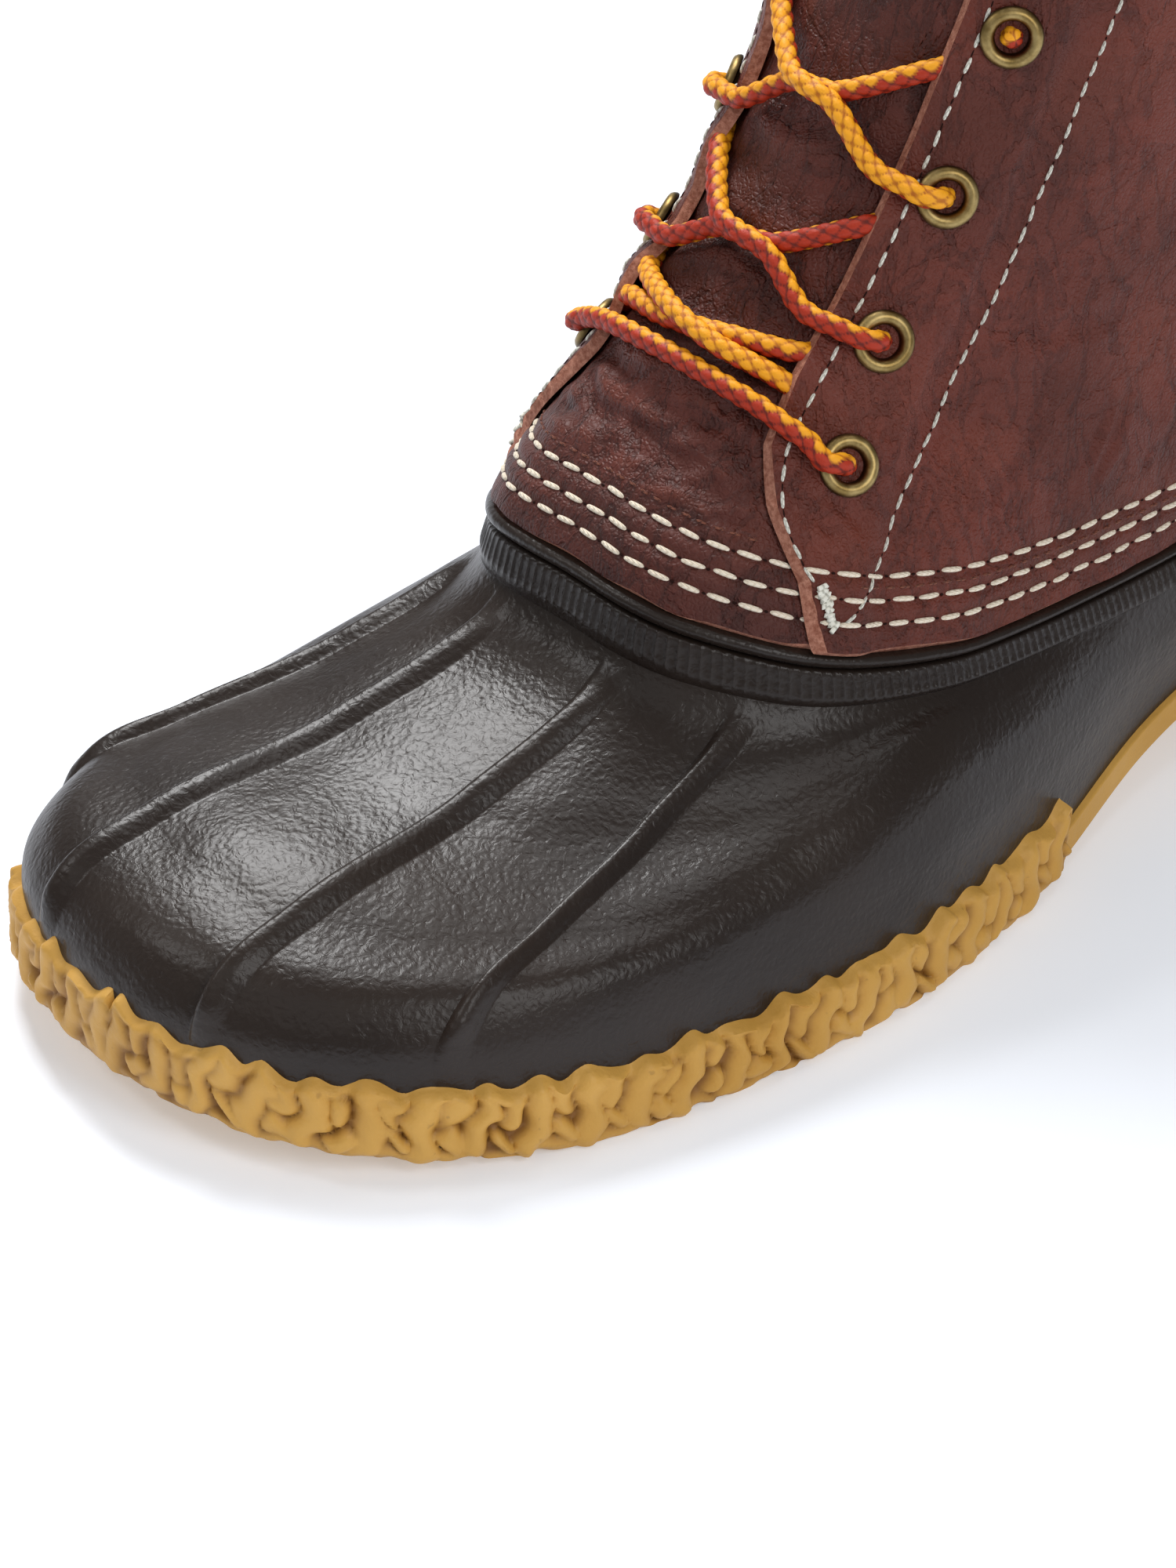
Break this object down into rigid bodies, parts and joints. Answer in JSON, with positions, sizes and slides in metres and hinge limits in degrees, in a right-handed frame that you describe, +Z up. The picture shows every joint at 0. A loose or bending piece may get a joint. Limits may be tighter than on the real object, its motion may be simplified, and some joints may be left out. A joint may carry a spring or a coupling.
{
  "type": "duck boot",
  "caption": "Left duck boot with a lumpy-edged gum rubber outsole, a ridged brown rubber shell with a ribbed band, a brown leather shaft, brass eyelets and a round lace.",
  "frame": {"origin": "on the floor plane, on the heel's flat underside, where the wearer's heel presses", "axes": "+Z up, the toe points to -Y, +X is the outer side of the foot"},
  "size_m": [0.1204, 0.305, 0.1806],
  "materials": {
    "gum_sole": "matte tan gum rubber",
    "shell_rubber": "satin dark brown rubber with a fine pebbled skin",
    "boot_leather": "satin reddish brown full-grain leather",
    "footbed": "matte felt",
    "eyelet_brass": "aged brass",
    "lace_cord": "braided cord, gold with rust red"
  },
  "bodies": {
    "root": {"outsole": "gum_sole", "rubber_shell": "shell_rubber", "leather_quarters": "boot_leather", "tongue": "boot_leather", "insole": "footbed", "eyelet_outer_1": "eyelet_brass", "eyelet_outer_2": "eyelet_brass", "eyelet_outer_3": "eyelet_brass", "eyelet_outer_4": "eyelet_brass", "eyelet_inner_1": "eyelet_brass", "eyelet_inner_2": "eyelet_brass", "eyelet_inner_3": "eyelet_brass", "eyelet_inner_4": "eyelet_brass", "lace_bar": "lace_cord", "lace_cross_1": "lace_cord", "lace_cross_2": "lace_cord", "lace_cross_3": "lace_cord"}
  },
  "joints": []
}
